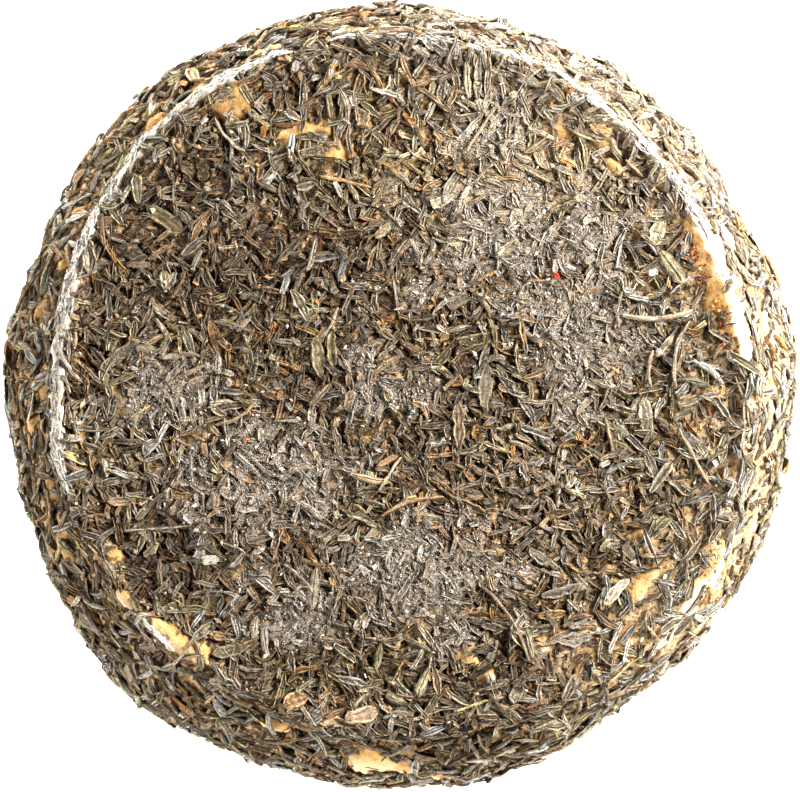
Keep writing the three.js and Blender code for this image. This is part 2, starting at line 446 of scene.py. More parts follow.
crown = Sheet(crown_frames, crown_walk, profile_length, crown_ground)
base = Sheet(base_frames, base_walk, FOOT_RADIUS, base_ground)


# Meshes from arrays


def mesh_piece(name, points, faces, material, layers, map_places=None, rounded=False):
    """A piece of the round from points in mm, with its attributes for the material."""
    mesh = bpy.data.meshes.new(name)
    count, size = faces.shape
    mesh.vertices.add(len(points))
    mesh.vertices.foreach_set("co", (points * MM).astype(np.float32).ravel())
    mesh.loops.add(count * size)
    mesh.loops.foreach_set("vertex_index", faces.astype(np.int32).ravel())
    mesh.polygons.add(count)
    mesh.polygons.foreach_set("loop_start", np.arange(0, count * size, size, dtype=np.int32))
    mesh.polygons.foreach_set("use_smooth", np.full(count, rounded))
    kinds = {1: ("FLOAT", "value"), 3: ("FLOAT_VECTOR", "vector")}
    for key, value in layers.items():
        value = value.reshape(len(points), -1)
        kind, field = kinds[value.shape[1]]
        layer = mesh.attributes.new(key, kind, "POINT")
        layer.data.foreach_set(field, value.astype(np.float32).ravel())
    if map_places is not None:
        layer = mesh.uv_layers.new(name="OFBake")
        layer.data.foreach_set("uv", map_places.astype(np.float32).ravel())
    mesh.update(calc_edges=True)
    mesh.materials.append(material)
    piece = bpy.data.objects.new(name, mesh)
    bpy.context.scene.collection.objects.link(piece)
    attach(piece, "root")
    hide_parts(NODE)


def spindle_layout(rings, corners):
    """Triangles of one closed form, rings of corners with a point at each end, and where their
    corners lie on a map of the form unrolled."""
    triangles = []
    for corner in range(corners):

        def at(ring, step):
            column = corner + step
            return ring * corners + column % corners, column / corners, (ring + 1) / (rings + 1)

        middle = (corner / corners + (corner + 1) / corners) / 2
        triangles.append(((rings * corners, middle, 0), at(0, 1), at(0, 0)))
        for ring in range(rings - 1):
            triangles.append((at(ring, 0), at(ring, 1), at(ring + 1, 1)))
            triangles.append((at(ring, 0), at(ring + 1, 1), at(ring + 1, 0)))
        last_tip = (rings * corners + 1, middle, 1)
        triangles.append((at(rings - 1, 0), at(rings - 1, 1), last_tip))
    layout = np.array(triangles)
    return layout[..., 0].astype(int), layout[..., 1:].reshape(-1, 2)


def map_cells(unrolled, count):
    """Places on a square map, with a cell for each form."""
    cells = math.ceil(math.sqrt(count))
    index = np.arange(count)
    corner_of_cell = np.stack([index % cells, index // cells], axis=1)
    unrolled = unrolled * 0.9 + 0.05
    return ((unrolled[None] + corner_of_cell[:, None]) / cells).reshape(-1, 2)


def spindle_piece(name, vertices, rings, corners, layers):
    """One piece of many closed forms, from an array of (form, vertex, xyz)."""
    count, per_form = vertices.shape[:2]
    offsets = np.arange(count)[:, None, None] * per_form
    triangles, unrolled = spindle_layout(rings, corners)
    faces = (triangles[None] + offsets).reshape(-1, 3)
    flat = {key: value.reshape(count * per_form, -1) for key, value in layers.items()}
    map_places = map_cells(unrolled, count)
    points = vertices.reshape(-1, 3)
    mesh_piece(name, points, faces, leaf_material, flat, map_places)


# Thyme leaves


def mirrored(*half):
    """A section that is the same on both sides, from its edge and its middle."""
    return [*half, *((-across, height, tone) for across, height, tone in half[-2::-1])]


# Across a leaf, from edge to edge: place in half widths, height in thicknesses, and the
# brightness of its colour there, where the pale ridges are partly the leaf's own paler margin
# and partly painted highlight, and the dark grooves partly painted shade. The last step, from
# the last point to the first, closes the leaf underneath. Dried leaves lie with their edges
# rolled in, rolled shut, with their upper side up, spread open, rolled at one edge only, or
# they are bits of stalk.
SECTIONS = {
    "rolled": mirrored((-1, 0.15, 0.5), (-0.84, 0.85, 1.4), (-0.45, 0.3, 0.42), (0, 0.55, 0.95)),
    "shut": mirrored((-1, 0.1, 0.45), (-0.7, 0.95, 1.15), (-0.2, 0.8, 1.3), (0, 0.15, 0.15)),
    "upper": mirrored((-1, 0, 0.55), (-0.7, 0.6, 0.9), (-0.25, 1, 1.2), (0, 0.7, 0.5)),
    "open": mirrored((-1, 0.3, 0.8), (-0.88, 0.6, 1.5), (-0.4, 0.25, 0.8), (0, 0.5, 1.15)),
    "half": [
        *((-1, 0.1, 0.45), (-0.8, 1, 1.35), (-0.3, 0.6, 0.8), (0.1, 0.3, 0.3)),
        *((0.5, 0.35, 0.8), (0.85, 0.55, 1.3), (1, 0.2, 0.6)),
    ],
    "stalk": [
        *((-0.9, 0.3, 0.7), (-0.8, 0.8, 1.0), (-0.3, 1, 1.25), (0.2, 1, 1.1)),
        *((0.75, 0.8, 1.2), (1, 0.4, 0.8), (0.4, 0, 0.5)),
    ],
}
section_table = np.array(list(SECTIONS.values()), float)

# For each number of rings in a leaf, how far along its half length the outer ones lie
RING_REACH = {2: 0.55, 3: 0.7, 4: 0.78, 6: 0.87, 8: 0.92}

# The points of a section that whole leaves have, and those that broken bits and fibres keep
FULL = (0, 1, 2, 3, 4, 5, 6)
FEW = (0, 1, 3, 5, 6)
STALK = list(SECTIONS).index("stalk")

# For each form: its share, mean width in mm, mean thickness in mm
LEAF_FORMS = {
    "rolled": (0.35, 1.12, 0.38),
    "shut": (0.22, 0.82, 0.42),
    "upper": (0.18, 1.12, 0.37),
    "open": (0.07, 1.6, 0.3),
    "half": (0.18, 1.0, 0.4),
}
FORM_SHARES, form_widths, form_thicknesses = zip(*LEAF_FORMS.values())
FORM_WIDTHS = np.array((*form_widths, 0.5))
FORM_THICKNESSES = np.array((*form_thicknesses, 0.45))

# Colours of the kinds of leaf, in linear light: body, then its pale ridges. The shares are
# for the usual crust, and what crushed grey zones and dense dark zones add to them.
LEAF_KINDS = {
    "grey": ((0.185, 0.135, 0.082), (0.46, 0.375, 0.26)),
    "ash": ((0.16, 0.133, 0.102), (0.46, 0.41, 0.335)),
    "olive": ((0.165, 0.13, 0.068), (0.40, 0.34, 0.20)),
    "brown": ((0.17, 0.10, 0.05), (0.41, 0.275, 0.15)),
    "pale": ((0.36, 0.295, 0.21), (0.62, 0.545, 0.43)),
    "straw": ((0.42, 0.20, 0.07), (0.60, 0.335, 0.135)),
}
KIND_SHARES = np.array((0.31, 0.14, 0.2, 0.225, 0.09, 0.035))
GREY_SHARES = np.array((0.05, 0.05, -0.08, -0.08, 0.06, 0))
DARK_SHARES = np.array((-0.06, 0.02, 0.03, 0.07, -0.05, -0.01))
HONEY_SHARES = np.array((0, 0.1, -0.08, -0.12, 0.12, 0.02))
KHAKI_LEAN = np.array((0.1, 0.03, -0.12))
# Side leaves get stronger pale ridges and dark grooves: more painted highlight and painted shade.
SIDE_PAINTED_CONTRAST = 1.25
SIDE_RINGS = 3
kind_bodies, kind_ridges = np.array(list(LEAF_KINDS.values())).swapaxes(0, 1)


def indices(table, names):
    return np.array([list(table).index(name) for name in names])


TIP_KINDS = indices(LEAF_KINDS, ("grey", "olive", "pale"))
STALK_KINDS = indices(LEAF_KINDS, ("grey", "brown", "pale", "straw"))


def draw_leaves(draw, count):
    """Sizes, forms and small irregularities of a number of leaves."""
    form = draw.choice(len(FORM_SHARES), count, p=FORM_SHARES)
    return {
        "length": np.clip(draw.normal(4.3, 1.05, count), 2.0, 7.4),
        "width": FORM_WIDTHS[form] * np.clip(draw.normal(1, 0.17, count), 0.6, 1.5),
        "thick": FORM_THICKNESSES[form] * draw.uniform(0.75, 1.25, count),
        "bend": draw.normal(0, 0.3, count),
        "arch": draw.normal(0.07, 0.16, count),
        "roll": draw.normal(0, 0.18, count),
        "twist": draw.normal(0, 0.25, count),
        "skew": draw.normal(0, 0.16, count),
        "blunt": draw.uniform(1.9, 4.2, count),
        "cut": np.where(draw.uniform(size=count) < 0.4, draw.uniform(0.3, 0.95, count), 1.0),
        "form": form,
        "tone": draw.normal(0, 0.22, count),
        "hue": draw.normal(0, 0.04, count),
        "seed": draw.uniform(0, 100, count),
    }


def rescale(shape, **factors):
    for key, factor in factors.items():
        shape[key] = shape[key] * factor


def make_stalks(shape, **values):
    """Gives leaves the round section of a stalk, and the values named."""
    shape.update(values)
    shape["form"] = np.full(len(shape["form"]), STALK)


SQUARE_END = 9.0


def cut_bluntly(shape):
    """Ends leaves squarely, and makes both ends alike."""
    shape["blunt"] = np.full(len(shape["form"]), SQUARE_END)
    shape["skew"] = np.zeros(len(shape["form"]))


def keep(kept, *arrays):
    return [array[kept] for array in arrays]


def joined(first, second):
    return {key: np.concatenate([first[key], second[key]]) for key in first}


def curve_offsets(shape, heading, part):
    """How far points at parts of a leaf's length lie from its middle, and its heading."""
    lengthways = part * shape["length"][:, None] / 2
    sideways = shape["bend"][:, None] * (part**2 - 0.35)
    cosine, sine = np.cos(heading)[:, None], np.sin(heading)[:, None]
    return lengthways, sideways, cosine, sine


def turned(lengthways, sideways, cosine, sine):
    """Offsets across and onward of points of leaves that are turned by their headings."""
    return lengthways * cosine - sideways * sine, lengthways * sine + sideways * cosine


def settle(sheet, places, shape, heading, sink):
    """Lets leaves fall one after another on what lies there, and gives their level and slope."""
    stations = np.linspace(-0.9, 0.9, 9)
    columns = np.array((-0.6, 0, 0.6))
    count = len(places)
    offsets = (offset[..., None] for offset in curve_offsets(shape, heading, stations[None]))
    lengthways, sideways, cosine, sine = offsets
    sideways = sideways + columns * shape["width"][:, None, None] / 2
    across, onward = turned(lengthways, sideways, cosine, sine)
    cells = sheet.cells(sheet.walk(places[:, None, None], across, onward))
    pull = stations / (stations**2).sum()
    level, slope = np.zeros(count), np.zeros(count)
    heights = sheet.heights
    sink = np.broadcast_to(sink, count)
    for leaf in range(count):
        under = heights[cells[leaf]]
        ridge = under.max(axis=1)
        lean = min(max(float(ridge @ pull), -MOST_LEAN), MOST_LEAN)
        over = ridge - lean * stations
        rest = 0.55 * over.max() + 0.45 * over.mean() - sink[leaf]
        level[leaf], slope[leaf] = rest, lean
        top = rest + lean * stations + shape["thick"][leaf] * 0.8
        heights[cells[leaf]] = np.maximum(under, top[:, None])
    on_side = smooth(HEIGHT - sheet.frames(places)[0][:, 2], 2, 6)
    return np.minimum(level, PILE_TOP - SIDE_PILE_DROP * on_side), slope


def leaf_points(sheet, places, shape, heading, level, slope, rings, corners, draw):
    """Vertices (leaf, vertex, xyz) of leaves that follow the sheet from their middles."""
    count = len(places)
    reach = RING_REACH[rings]
    stations = np.concatenate([np.linspace(-reach, reach, rings), [-1, 1]])
    part = np.where(stations > 0, stations * shape["cut"][:, None], stations)
    broken = shape["cut"] < 1
    part[broken, rings - 1] = part[broken, rings + 1] - 0.03
    lengthways, sideways, cosine, sine = curve_offsets(shape, heading, part)
    sideways = sideways + draw.normal(0, 0.045, part.shape)
    across, onward = turned(lengthways, sideways, cosine, sine)
    middle, normal, around, down = sheet.frames(sheet.walk(places[:, None], across, onward))
    lift = level[:, None] + slope[:, None] * part
    lift = lift + shape["arch"][:, None] * part**2 + draw.normal(0, 0.03, part.shape)
    middle = middle + normal * lift[..., None]
    ahead = unit(around * cosine[..., None] + down * sine[..., None])
    beside = unit(np.cross(ahead, normal))
    roll = (shape["roll"][:, None] + shape["twist"][:, None] * part)[..., None]
    side_axis = beside * np.cos(roll) + normal * np.sin(roll)
    up_axis = normal * np.cos(roll) - beside * np.sin(roll)
    shifted = part[:, :rings] + shape["skew"][:, None] * (1 - part[:, :rings] ** 2)
    taper = 1 - np.abs(shifted) ** shape["blunt"][:, None]
    fullness = np.clip(taper, 0.05, 1) ** 0.65 * draw.normal(1, 0.1, taper.shape)
    sections = section_table[shape["form"]][:, None, corners]
    half_width = shape["width"][:, None] / 2 * fullness
    thickness = shape["thick"][:, None] * (0.5 + 0.5 * fullness)
    uneven = draw.normal(0, 0.04, (2, count, rings, len(corners)))
    side = sections[..., 0] * half_width[..., None] + uneven[0]
    up = sections[..., 1] * thickness[..., None] + uneven[1]
    ring_points = (
        middle[:, :rings, None]
        + side_axis[:, :rings, None] * side[..., None]
        + up_axis[:, :rings, None] * up[..., None]
    )
    tips = middle[:, rings:] + normal[:, rings:] * 0.1
    points = np.concatenate([ring_points.reshape(count, -1, 3), tips], axis=1)
    points[..., 2] = np.maximum(points[..., 2], FLOOR_GAP)
    return points


def with_tips(values, tips):
    """Values for each corner of each ring of leaves, followed by those of their two tips."""
    count = len(values)
    tips = np.broadcast_to(tips, (count, 2))
    return np.concatenate([values.reshape(count, -1), tips], axis=1)


def leaf_grain(shape, rings, corners):
    """For each vertex, its place across and along its leaf, so that fibres run lengthways."""
    count = len(shape["form"])
    across = section_table[shape["form"]][:, None, corners, 0] + np.zeros((1, rings, 1))
    along = np.linspace(-1, 1, rings)[None, :, None] + np.zeros((count, 1, len(corners)))
    across, along = with_tips(across, 0), with_tips(along, (-1.2, 1.2))
    half_width = shape["width"][:, None] / 2
    half_length = shape["length"][:, None] / 2
    seed = np.broadcast_to(shape["seed"][:, None], across.shape)
    return np.stack([across * half_width, along * half_length, seed], axis=-1)


def leaf_colours(shape, kinds, rings, corners, draw):
    """A colour for each vertex: pale ridges, dark grooves and edges, partly painted highlight and
    painted shade.
    """
    count = len(kinds)
    tone = np.repeat(section_table[shape["form"]][:, None, corners, 2], rings, axis=1)
    # Side leaves get more painted highlight and painted shade.
    tone = 1 + (tone - 1) * (SIDE_PAINTED_CONTRAST if rings == SIDE_RINGS else 1)
    tone = tone * draw.normal(1, 0.12, (count, rings, 1)) * draw.normal(1, 0.08, tone.shape)
    tone = with_tips(tone, 0.8)[..., None]
    lean = 1 + shape["hue"][:, None, None] * np.array((1, 0, -1.4))
    body = kind_bodies[kinds][:, None] * lean
    ridge = kind_ridges[kinds][:, None] * lean
    pale = np.clip((tone - 1) / 0.45, 0, 1)
    colour = body * np.clip(tone, 0, 1) ** 1.6 * (1 - pale) + ridge * pale
    return np.clip(colour * 1.05 * np.exp(shape["tone"])[:, None, None], 0.003, 0.5)


def even_starts(draw, count, low, high):
    """Places spread evenly over the crown between two distances along the profile."""
    runs = np.linspace(low, high, 2000)
    area = np.cumsum(np.maximum(profile_radius(runs), 0.3))
    wanted = (np.arange(count) + draw.uniform(0.1, 0.9, count)) / count * area[-1]
    along = np.interp(wanted, area, runs)
    turn = np.arange(count) * math.pi * GOLDEN_SHARE + draw.normal(0, 0.015, count)
    order = draw.permutation(count)
    return on_disc(turn, along)[order]


def pick_kinds(draw, grey, dark, pale=0.0):
    """An index into LEAF_KINDS for each leaf, by the zone that it lies in."""
    shares = KIND_SHARES + grey[:, None] * GREY_SHARES + dark[:, None] * DARK_SHARES
    shares = shares + (pale + 0 * grey)[:, None] * HONEY_SHARES
    edges = np.cumsum(shares / shares.sum(axis=1, keepdims=True), axis=1)
    return (draw.uniform(size=(len(grey), 1)) > edges[:, :-1]).sum(axis=1)


def crown_headings(draw, places, points):
    """Any way on the top, less often straight down on the side, and alike in small clumps."""
    _, along = turn_and_along(places)
    side = smooth(along, top_length - 4, top_length + 2)
    clump = 1.2 * swells(points, 9, 21)
    free = clump + draw.uniform(-1.3, 1.3, len(along))
    level = 0.5 * clump + draw.normal(0, 1.15, len(along))
    return free * (1 - side) + level * side


def zones_at(places):
    """Points, bareness and the grey and dark zones at places on the crown."""
    spot = spots(places)
    points = spot[2]
    return points, uncovered(*spot), grey_at(points), zone_strength(DARK_ZONES, points)


def clear_lip(places):
    """Where the lip is clear of whole leaves: its ridge of mould and its bare crescent."""
    turn, along, points = spots(places)
    facing = facing_way(turn, BARE_LIP_TURN, 0.93, 0.97)
    facing = np.maximum(facing, 0.95 * facing_way(turn, 225, 0.95, 0.975))
    crescent = facing * (np.abs(along - 53.2) < 2.6) * bareness(turn, along, points)
    floury = facing_way(turn, 62, 0.85, 0.95)
    return np.maximum(crescent, (0.88 - 0.3 * floury) * lip_bloom(turn, along, points))


def leaf_batch(rings, corners, places, shape, heading, sink, kinds, draw, sheet=crown):
    """Vertices and attributes of a batch of leaves that settle on a sheet."""
    on_crown = float(sheet is crown)
    turn, along = turn_and_along(places)
    points, _, grey, dark = zones_at(places)
    grey, dark, khaki = grey * on_crown, dark * on_crown, khaki_strength(points) * on_crown
    # Side leaves away from the honey ground get deeper painted shade.
    side_shade = smooth(HEIGHT - points[:, 2], 1, 5) * (1 - honey(turn, along, points)) * on_crown
    level, slope = settle(sheet, places, shape, heading, sink)
    vertices = leaf_points(sheet, places, shape, heading, level, slope, rings, corners, draw)
    # Painted shade: leaves that lie lower in the pile get darker, browner colour, more in the dense
    # dark zones and on the side, less in the khaki zone.
    shade = (1 - smooth(level, -0.75, 0.0)) * (1 + 0.4 * dark + 0.1 * side_shade - 0.4 * khaki)
    painted_depth_shade = 1 - shade[:, None] * np.array((0.5, 0.57, 0.64))
    colours = leaf_colours(shape, kinds, rings, corners, draw) * np.clip(painted_depth_shade, 0.2, 1)[:, None]
    colours = colours * (1 - 0.15 * dark)[:, None, None]
    colours = colours * (1 + khaki[:, None] * KHAKI_LEAN)[:, None]
    floury = facing_way(turn, 60, 0.78, 0.98) * smooth(along, 42, 50)
    dust = 0.14 + 0.7 * grey + 0.75 * floury * on_crown
    dust = np.clip(dust + draw.normal(0, 0.12, len(places)), 0, 1)
    dust = np.repeat(dust[:, None], vertices.shape[1], axis=1)
    return vertices, {"tint": colours, "grain": leaf_grain(shape, rings, corners), "dust": dust}


def leaf_piece(name, slot_name, rings, corners, *batch):
    vertices, layers = leaf_batch(rings, corners, *batch)
    spindle_piece(name, vertices, rings, len(corners), layers)


def leaf_pieces(label, vertices, layers, rings, corners, kinds):
    """A piece for each kind of leaf in a batch."""
    for index, kind in enumerate(LEAF_KINDS):
        own = kinds == index
        part = {key: value[own] for key, value in layers.items()}
        name = f"thyme_{kind}_{label}"
        spindle_piece(name, vertices[own], rings, len(corners), part)


def sprig_tips(draw, count, low, high):
    """Places and headings of whorls of three to six leaves that still hold together."""
    centres = even_starts(draw, count, low, high)
    _, bare, _, _ = zones_at(centres)
    centres = centres[bare < 0.3]
    places, headings, lengths = [], [], []
    for centre in centres:
        heading, spread = draw.uniform(0, 2 * np.pi), draw.uniform(0.7, 1.7)
        number = draw.integers(3, 7)
        for angle in np.linspace(-spread, spread, number) + draw.normal(0, 0.12, number):
            length = draw.uniform(2.8, 5.0)
            toward = heading + angle
            across, onward = math.cos(toward) * length / 2, math.sin(toward) * length / 2
            places.append(crown_walk(centre[None], np.array([across]), np.array([onward]))[0])
            headings.append(toward)
            lengths.append(length)
    return np.array(places), np.array(headings), np.array(lengths)


def lay_leaves(label, count, low, high, rings, sprigs):
    """Leaves between two distances along the profile, with sprig tips on top of them."""
    draw = seeded(len(label))
    places = even_starts(draw, count, low, high)
    points, bare, grey, dark = zones_at(places)
    heading = crown_headings(draw, places, points)
    lip = clear_lip(places)
    for end in (-1.6, 1.6):
        tips = crown_walk(places, end * np.cos(heading), end * np.sin(heading))
        lip = np.maximum(lip, clear_lip(tips))
    thin = smooth(swells(points, 6, 31), 0.7, 1.7) * 0.5
    pale = honey(*spots(places))
    cover = (1 - 0.88 * bare) * (1 - 0.96 * lip) * (1 - thin) * (1 - 0.45 * grey)
    cover = cover * (1 - 0.2 * pale)
    kept = draw.uniform(size=count) < cover
    places, points, heading = keep(kept, places, points, heading)
    grey, dark, pale = keep(kept, grey, dark, pale)
    shape = draw_leaves(draw, len(places))
    side = smooth(HEIGHT - points[:, 2], 1, 5)
    rescale(shape, length=1 - 0.12 * grey, roll=1 + 1.2 * side, thick=1 + 0.55 * side)
    shape["arch"] = shape["arch"] * (1 - 0.4 * side) - 0.22 * side
    khaki = khaki_strength(points)
    # Painted light: leaves on the side get lighter colour, a little less on honey ground; leaves in
    # the khaki zone are lighter too.
    shape["tone"] = shape["tone"] + 0.24 * side - 0.1 * pale * side + 0.2 * khaki
    sink = draw.uniform(0.02, 0.2, len(places)) + 0.14 * grey - 0.1 * side
    kinds = pick_kinds(draw, grey, dark, pale)
    tip_places, tip_headings, tip_lengths = sprig_tips(draw, sprigs, low + 2, high - 4)
    tip_shape = draw_leaves(draw, len(tip_places))
    tip_shape["length"] = tip_lengths
    tip_shape["arch"] = tip_shape["arch"] + 0.12
    tip_kinds = draw.choice(TIP_KINDS, len(tip_places), p=(0.3, 0.6, 0.1))
    places = np.concatenate([places, tip_places])
    heading = np.concatenate([heading, tip_headings])
    sink = np.concatenate([sink, np.full(len(tip_places), 0.15)])
    kinds = np.concatenate([kinds, tip_kinds])
    shape = joined(shape, tip_shape)
    vertices, layers = leaf_batch(rings, FULL, places, shape, heading, sink, kinds, draw)
    leaf_pieces(label, vertices, layers, rings, FULL, kinds)


def lay_fragments(label, count, low, high, seed):
    """Broken bits of leaf, below and on top of the whole leaves."""
    draw = seeded(seed)
    places = even_starts(draw, count, low, high)
    _, bare, grey, dark = zones_at(places)
    pale = honey(*spots(places))
    kept = draw.uniform(size=count) < (1 - 0.93 * bare) * (1 - 0.6 * pale)
    places, grey, dark = keep(kept, places, grey, dark)
    number = len(places)
    shape = draw_leaves(draw, number)
    shape["length"] = draw.gamma(5, 0.34, number) + 0.5
    slim = shape["width"] * draw.uniform(0.25, 0.95, number)
    shape["width"] = np.minimum(slim, shape["length"] * 0.7)
    rescale(shape, thick=0.7, bend=0.3, arch=0.5)
    shape["tone"] = np.minimum(shape["tone"] * 1.6 - 0.15, 0.25)
    heading = any_heading(draw, number)
    sink = draw.uniform(0.0, 0.2, number)
    kinds = pick_kinds(draw, grey, dark)
    name = f"broken_leaf_{label}"
    leaf_piece(name, "thyme_leaf", 2, FEW, places, shape, heading, sink, kinds, draw)


def lay_base(count):
    """Leaves pressed flat under the round."""
    draw = seeded(700)
    steps = np.arange(count) + 0.5
    spread = np.sqrt(steps / count) * (FOOT_RADIUS - 0.5)
    places = on_disc(steps * math.pi * GOLDEN_SHARE, spread)
    places = draw.permutation(places + draw.normal(0, 0.3, places.shape))
    shape = draw_leaves(draw, count)
    whole = draw.uniform(size=count) < 0.6
    shape["length"] = np.where(whole, shape["length"], shape["length"] * 0.45)
    rescale(shape, thick=0.5, arch=0.2)
    heading = any_heading(draw, count)
    kinds = pick_kinds(draw, np.zeros(count), np.zeros(count))
    lie = (places, shape, heading, 0.05, kinds, draw, base)
    leaf_piece("thyme_base", "thyme_leaf", 2, FEW, *lie)


def lay_stalks(count):
    """Bits of bare stalk, straight or curled, on the top and the side."""
    draw = seeded(900)
    places = even_starts(draw, count, 2, profile_length - 8)
    _, bare, _, _ = zones_at(places)
    places = places[bare < 0.4]
    number = len(places)
    shape = draw_leaves(draw, number)
    length = draw.gamma(5, 1.1, number) + 2
    width = draw.uniform(0.35, 0.65, number)
    bend = draw.normal(0, 0.09, number) * length
    make_stalks(shape, length=length, width=width, thick=width * 0.95, bend=bend)
    cut_bluntly(shape)
    shape["tone"] = shape["tone"] - 0.12
    heading = any_heading(draw, number)
    kinds = draw.choice(STALK_KINDS, number, p=(0.38, 0.42, 0.08, 0.12))
    leaf_piece("stalks", "stem", 8, FULL, places, shape, heading, 0.05, kinds, draw)


def lay_strands():
    """Fibres of dry mould that run along the lip's ridge."""
    draw = seeded(1300)
    turns = []
    for degrees, half, share in LIP_BLOOM:
        number = int(STRANDS_PER_DEGREE * 2 * half * share)
        turns.append(radians(degrees + draw.uniform(-half, half, number)))
    turn = np.concatenate(turns)
    left = facing_way(turn, 182, 0.85, 0.97)
    upper = facing_way(turn, 60, 0.7, 0.9)
    broad = 0.2 + 0.22 * left + 0.3 * upper
    along = ridge_line(turn) + draw.normal(0, 1, len(turn)) * broad
    uneven = swells(surface(turn, along), 6, 51)
    kept = draw.uniform(size=len(turn)) < 0.75 + 0.35 * uneven - 0.35 * upper
    turn, along, uneven, left, upper = keep(kept, turn, along, uneven, left, upper)
    # Strands on the left and at the upper right are painted darker: painted shade.
    strand_shade = 0.3 * left + 0.15 * upper
    number = len(turn)
    places = on_disc(turn, along)
    shape = draw_leaves(draw, number)
    length = draw.uniform(1.2, 3.6, number)
    width = draw.uniform(0.18, 0.45, number)
    make_stalks(shape, length=length, width=width, thick=width * 0.6)
    rescale(shape, arch=0.3)
    heading = draw.normal(0, 0.13, number)
    kinds = indices(LEAF_KINDS, ["pale"] * number)
    vertices, layers = leaf_batch(4, FEW, places, shape, heading, 0.15, kinds, draw)
    bright = draw.uniform(0.6, 1.15, number) * (1 - strand_shade + 0.12 * uneven)
    layers["tint"] = STRAND_COLOUR * bright[:, None, None] + 0 * layers["tint"]
    layers["dust"] = layers["dust"] * 0.3
    spindle_piece("mould_strands", vertices, 4, len(FEW), layers)


# Crumbs, grains and broken leaf

SLIVER_CORNERS = 4
SLIVER_VERTICES = SLIVER_CORNERS + 2


def slivers(places, heading, length, width, thick, draw):
    """Vertices of small flat splinters on the crust, each a ring of corners between two tips."""
    count = len(places)
    level = crown.heights[crown.cells(places)]
    middle, normal, around, down = crown_frames(places)
    ahead = around * np.cos(heading)[:, None] + down * np.sin(heading)[:, None]
    beside = unit(np.cross(ahead, normal))
    tilt = draw.normal(0, 0.3, count)[:, None]
    ahead = ahead * np.cos(tilt) + normal * np.sin(tilt)
    up = unit(np.cross(beside, ahead))
    middle = middle + normal * (level + thick * 0.25)[:, None]
    ring = []
    for angle in radians(np.arange(SLIVER_CORNERS) * 360 / SLIVER_CORNERS + 20):
        uneven = draw.uniform(0.6, 1.3, (2, count, 1))
        aside = beside * math.cos(angle) * width[:, None] / 2 * uneven[0]
        above = up * math.sin(angle) * thick[:, None] / 2 * uneven[1]
        onward = ahead * draw.normal(0, 0.12, (count, 1)) * length[:, None]
        ring.append(middle + aside + above + onward)
    tip = ahead * length[:, None] / 2
    points = np.stack([*ring, middle - tip, middle + tip], axis=1)
    points[..., 2] = np.maximum(points[..., 2], FLOOR_GAP)
    return points


def sliver_piece(name, vertices, points, tint, dust, step=0.0):
    """A piece of slivers, each of one colour."""
    dust = np.broadcast_to(dust, len(points))
    layers = {
        "tint": np.repeat(tint[:, None], SLIVER_VERTICES, axis=1),
        "grain": np.stack([points + vertex * step for vertex in range(SLIVER_VERTICES)], axis=1),
        "dust": np.repeat(dust[:, None], SLIVER_VERTICES, axis=1),
    }
    spindle_piece(name, vertices, 1, SLIVER_CORNERS, layers)


def scatter(draw, count, low, high, weight):
    """Places between two distances along the profile, kept by a weight from 0 to 1."""
    places = even_starts(draw, count, low, high)
    turn, along, points = spots(places)
    kept = draw.uniform(size=count) < weight(turn, along, points)
    return places[kept], points[kept]


# Colours of crumbs in linear light, each with its share: bits of leaf and stalk, burnt and
# orange bits
CRUMBS = [
    (0.25, (0.03, 0.019, 0.011)), (0.22, (0.14, 0.085, 0.04)), (0.18, (0.22, 0.16, 0.095)),
    (0.12, (0.33, 0.19, 0.08)), (0.12, (0.4, 0.32, 0.225)), (0.09, (0.11, 0.088, 0.06)),
    (0.018, (0.46, 0.21, 0.06)), (0.002, (0.45, 0.09, 0.05)),
]
crumb_shares, crumb_colours = zip(*CRUMBS)
CRUMB_GREY = np.array((0.48, 0.425, 0.355))


def crumb_weight(*spot):
    grey, bare, pale = grey_at(spot[-1]), uncovered(*spot), honey(*spot)
    return (0.6 + 0.4 * grey) * (1 - 0.9 * bare) * (1 - 0.3 * pale)


def lay_crumbs(name, count, low, high, seed):
    """Crumbs, most of them in the gaps between the leaves."""
    draw = seeded(seed)
    places, points = scatter(draw, count, low, high, crumb_weight)
    grey = grey_at(points)
    in_gap = crown.heights[crown.cells(places)] < 0.05
    kept = in_gap | (draw.uniform(size=len(places)) < 0.3 + 0.35 * grey)
    places, points, grey = keep(kept, places, points, grey)
    number = len(places)
    length = np.where(draw.uniform(size=number) < 0.5, 0.32, 0.75)
    length = length * np.exp(draw.normal(0, 0.35, number)) * (1 - 0.25 * grey)
    width = length * draw.uniform(0.25, 0.75, number)
    thick = np.minimum(width, 0.35) * draw.uniform(0.5, 1, number)
    vertices = slivers(places, any_heading(draw, number), length, width, thick, draw)
    tint = np.array(crumb_colours)[draw.choice(len(CRUMBS), number, p=crumb_shares)]
    pale = honey(*spots(places))[:, None]
    tint = tint * np.exp(draw.normal(0, 0.3, (number, 1))) * (0.9 + 0.35 * pale)
    tint = np.clip(tint, 0.003, 0.85)
    greyed = (draw.uniform(size=number) < 0.55 * grey)[:, None]
    tint = np.where(greyed, CRUMB_GREY * draw.uniform(0.5, 1.5, (number, 1)), tint)
    dust = np.clip(0.1 + 0.3 * grey, 0, 1)
    sliver_piece(name, vertices, points, tint, dust, step=0.1)


# Where orange and red-brown flecks lie: turn in degrees, distance along the profile, half
# length round and along in mm, and their number
FLECKS = [
    (20, 50.2, 4, 1.5, 44), (13, 50.8, 3, 1.3, 34), (7, 51.4, 3, 1.2, 26), (25, 50.4, 3, 1.3, 18),
    (-8, 47.5, 3, 1.5, 10),
]
FLECK_COLOURS = np.array(
    [(0.5, 0.17, 0.04), (0.34, 0.1, 0.03), (0.16, 0.06, 0.03), (0.6, 0.32, 0.1)]
)

